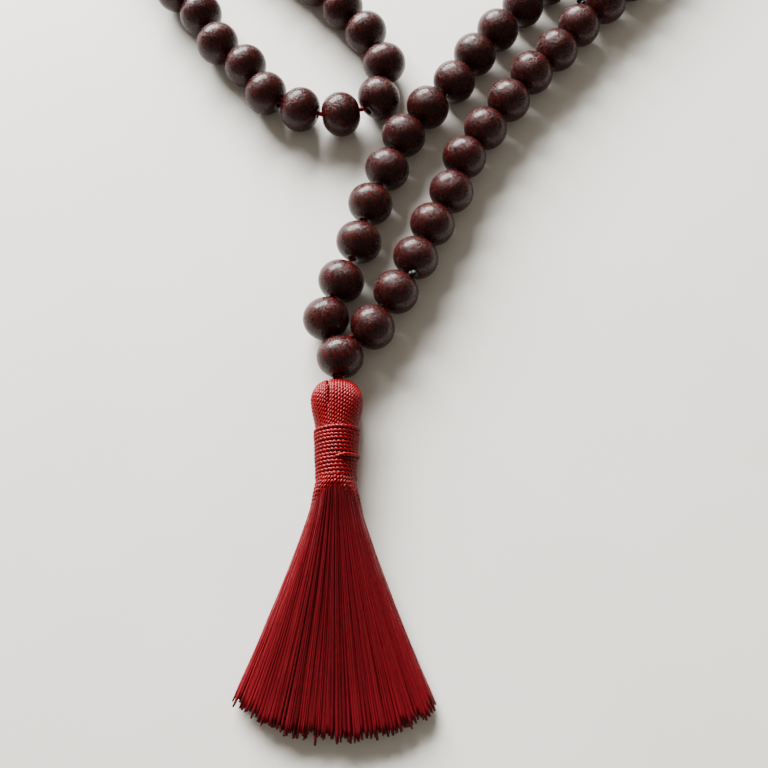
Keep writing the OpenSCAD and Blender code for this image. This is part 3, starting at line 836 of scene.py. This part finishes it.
# ---------------------------------------------------------------------------------------------
# Skirt. Below the binding the yarns untwist into straight glossy threads, which fan out over the
# table and are cut in an uneven arc. The bottom ones lie on the table.
SKIRT_HALF = 15.55 * MM
SKIRT_CORNER = 5.5 * MM
ARC_R = 25.8 * MM
ARC_X = TASSEL_X + 0.9 * MM
FAN_POWER = 1.18
NECK_HALF = 2.95 * MM
NECK_H = 7.1 * MM
TIP_H = 2.6 * MM
LIE_H = 0.3 * MM


def fan(q, depth, v, end_y):
    """Routes of threads down the skirt: q from -1 to 1 across it, depth from 0 at the table to 1
    on top, v from 0 at the binding to 1 at the tip. The half width grows from the neck's with the
    fan's power of the way down, the upper side sinks from the neck's height to the tips', and its
    edges are rounded off. Near the binding the threads start from the neck's round section."""
    y = SKIRT_TOP + 0.5 * MM + (end_y - SKIRT_TOP - 0.5 * MM) * v
    share = np.clip((SKIRT_TOP - y) / (SKIRT_TOP - TIPS - SKIRT_CORNER), 0.0, 1.3)
    half = NECK_HALF + (SKIRT_HALF - NECK_HALF) * share ** FAN_POWER
    round_edge = np.sqrt(np.clip(1 - np.abs(q) ** 2.6, 0.0, 1.0))
    sink = np.clip(share, 0.0, 1.0)
    top = TIP_H + (NECK_H - LIE_H - TIP_H) * (1 - sink) ** 1.25
    low = LIE_H + 0.8 * MM * np.clip(1 - share / 0.12, 0.0, 1.0) ** 2
    middle = (top + low) / 2 * round_edge ** 0.25
    z = low + (middle - low) * (1 - round_edge) + (top - low) * round_edge * depth
    neck_z = GURU[2] + (2 * depth - 1) * np.sqrt(np.clip(1 - q * q, 0.0, 1.0)) * NECK_HALF
    settle = np.clip(share / 0.16, 0.0, 1.0)
    settle = settle * settle * (3 - 2 * settle)
    return np.stack([TASSEL_X + q * half, y, neck_z + (z - neck_z) * settle], axis=-1)


def tip_line(q):
    """Where the cut goes across the skirt: an arc that is lowest a little to the right."""
    x = q * (SKIRT_HALF + 0.3 * MM) + TASSEL_X - ARC_X
    return TIPS + ARC_R - np.sqrt(ARC_R ** 2 - x * x)


TUFTS = 27
TUFT_RAGGED = 0.35 * MM
LOWER_SHORT = 1.0 * MM
THREAD_PITCH = 40.0 * MM


def threads(name, count, q, depth, thick, ragged):
    """Straight threads down the skirt, gathered a little into tufts towards their tips. The lower
    a thread lies, the shorter it is cut."""
    v = np.linspace(0.0, 1.0, 26)[None, :] ** 0.9
    tuft = np.round(q * TUFTS) / TUFTS
    tuft_luck = silk_luck.normal(0.0, 1.0, 2 * TUFTS + 3)
    which = (np.round(q * TUFTS) + TUFTS).astype(int)
    pull = (tuft - q)[:, None] * 0.38 * v ** 5
    sway = silk_luck.normal(0.0, 0.006, count)[:, None] * np.sin(
        math.pi * v * silk_luck.uniform(0.6, 2.2, count)[:, None])
    across = np.clip(q[:, None] + pull + sway, -1.0, 1.0)
    end = (tip_line(q) + TUFT_RAGGED * tuft_luck[which] + LOWER_SHORT * (1 - depth)
           + silk_luck.normal(0.0, ragged, count) - 0.15 * MM)
    end = np.maximum(end, TIPS - 1.4 * MM)
    paths = fan(across, depth[:, None], v, end[:, None])
    radius = thick[:, None] * (0.62 + 0.38 * np.clip(v * 1.6, 0.0, 1.0))
    radius = radius * np.where(v > 0.985, 0.8, 1.0)
    up = np.broadcast_to([0.0, 0.0, 1.0], paths.shape)
    # Brightness of each thread: a random tone, plus painted light that makes the threads lighter
    # towards the fan's sides.
    tone_and_side_light = 0.14 + 0.40 * np.abs(q) ** 1.6 + silk_luck.uniform(0.0, 0.38, count)
    return sweep(name, skirt_silk, paths, up, radius, THREAD_PITCH, 2, 0.8, 6,
                 silk_luck.uniform(0, 6, count), tone_and_side_light)


skirt_silk = thread_material(
    "skirt silk", (0.040, 0.0012, 0.0026), (0.108, 0.0032, 0.0066), 1.1, 0.28, 0.5)


def on_skirt(piece):
    """A piece of the skirt: its transform is baked into its mesh."""
    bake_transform(piece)


UPPER_COUNT = 190
upper_q = np.linspace(-0.995, 0.995, UPPER_COUNT) + silk_luck.normal(0, 0.004, UPPER_COUNT)
upper = threads("skirt_threads_upper", UPPER_COUNT, np.clip(upper_q, -1, 1),
                silk_luck.uniform(0.93, 1.03, UPPER_COUNT),
                silk_luck.uniform(0.16, 0.26, UPPER_COUNT) * MM, 0.28 * MM)
on_skirt(upper)
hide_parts("tassel_skirt")
LOWER_COUNT = 420
lower = threads("skirt_threads_lower", LOWER_COUNT, silk_luck.uniform(-1, 1, LOWER_COUNT),
                silk_luck.uniform(0.0, 0.92, LOWER_COUNT),
                silk_luck.uniform(0.18, 0.28, LOWER_COUNT) * MM, 0.32 * MM)
on_skirt(lower)

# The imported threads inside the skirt, as one flat bundle that ends short of the tips
rows, columns = 40, 48
v = np.linspace(0.0, 1.0, rows)
theta = np.linspace(0.0, 2 * math.pi, columns, endpoint=False)
end_y = tip_line(0.93 * np.cos(theta)) + 2.6 * MM
bundle = fan(0.95 * np.cos(theta)[None, :], 0.5 + 0.40 * np.sin(theta)[None, :], v[:, None],
             end_y[None, :])
points = bundle.reshape(-1, 3)
pole_in, pole_out = bundle[0].mean(axis=0), bundle[-1].mean(axis=0)
j = np.arange(columns)
caps = np.concatenate([
    np.stack([np.full(columns, rows * columns), (j + 1) % columns, j], axis=1),
    np.stack([np.full(columns, rows * columns + 1), (rows - 1) * columns + j,
              (rows - 1) * columns + (j + 1) % columns], axis=1)])
points = np.concatenate([points, [pole_in, pole_out]])
# Painted shade inside the skirt: the bundle takes mostly the thread's shade colour and a darker
# brightness.
bundle_painted_shade = np.zeros((len(points), 3))
bundle_painted_shade[:, 0] = 0.25
bundle_painted_shade[:, 2] = 0.3
packed = add_mesh("skirt_inner_bundle", points, ring_quads(rows, columns), caps, skirt_silk,
                  {"ply": bundle_painted_shade})
on_skirt(packed)

# The tops of the yarns, still twisted where they come out of the binding
TOP_COUNT = 38
ring = (np.arange(TOP_COUNT) + 0.5) / TOP_COUNT * 2 * math.pi
top_q, top_depth = np.cos(ring), 0.5 + 0.5 * np.sign(np.sin(ring))
v = np.linspace(0.0, 1.0, 90)[None, :]
reach = silk_luck.uniform(1.9, 3.4, TOP_COUNT) + 3.0 * np.abs(top_q) ** 2
top_end = SKIRT_TOP - reach * MM
top_paths = fan(top_q[:, None] + 0 * v, top_depth[:, None], v, top_end[:, None])
untwist = np.clip((v - 0.45) / 0.55, 0.0, 1.0)
top_r = YARN_R * 0.98 * (1 - 0.62 * untwist ** 1.5)
lift = np.stack([0 * top_paths[..., 0], 0 * top_paths[..., 0],
                 (2 * top_depth[:, None] - 1) * (0.12 - 0.30 * untwist) * MM], axis=-1)
tops = sweep("skirt_yarn_tops", silk, top_paths + lift,
             np.stack([0.4 * np.cos(ring)[:, None] + 0 * v, 0 * v + 0 * ring[:, None],
                       np.sin(ring)[:, None] + 0 * v], axis=-1),
             np.broadcast_to(top_r, (TOP_COUNT, v.size)), YARN_PITCH, 2, 0.66, 12,
             silk_luck.uniform(-0.4, 0.4, TOP_COUNT), silk_luck.uniform(0, 1, TOP_COUNT))
on_skirt(tops)
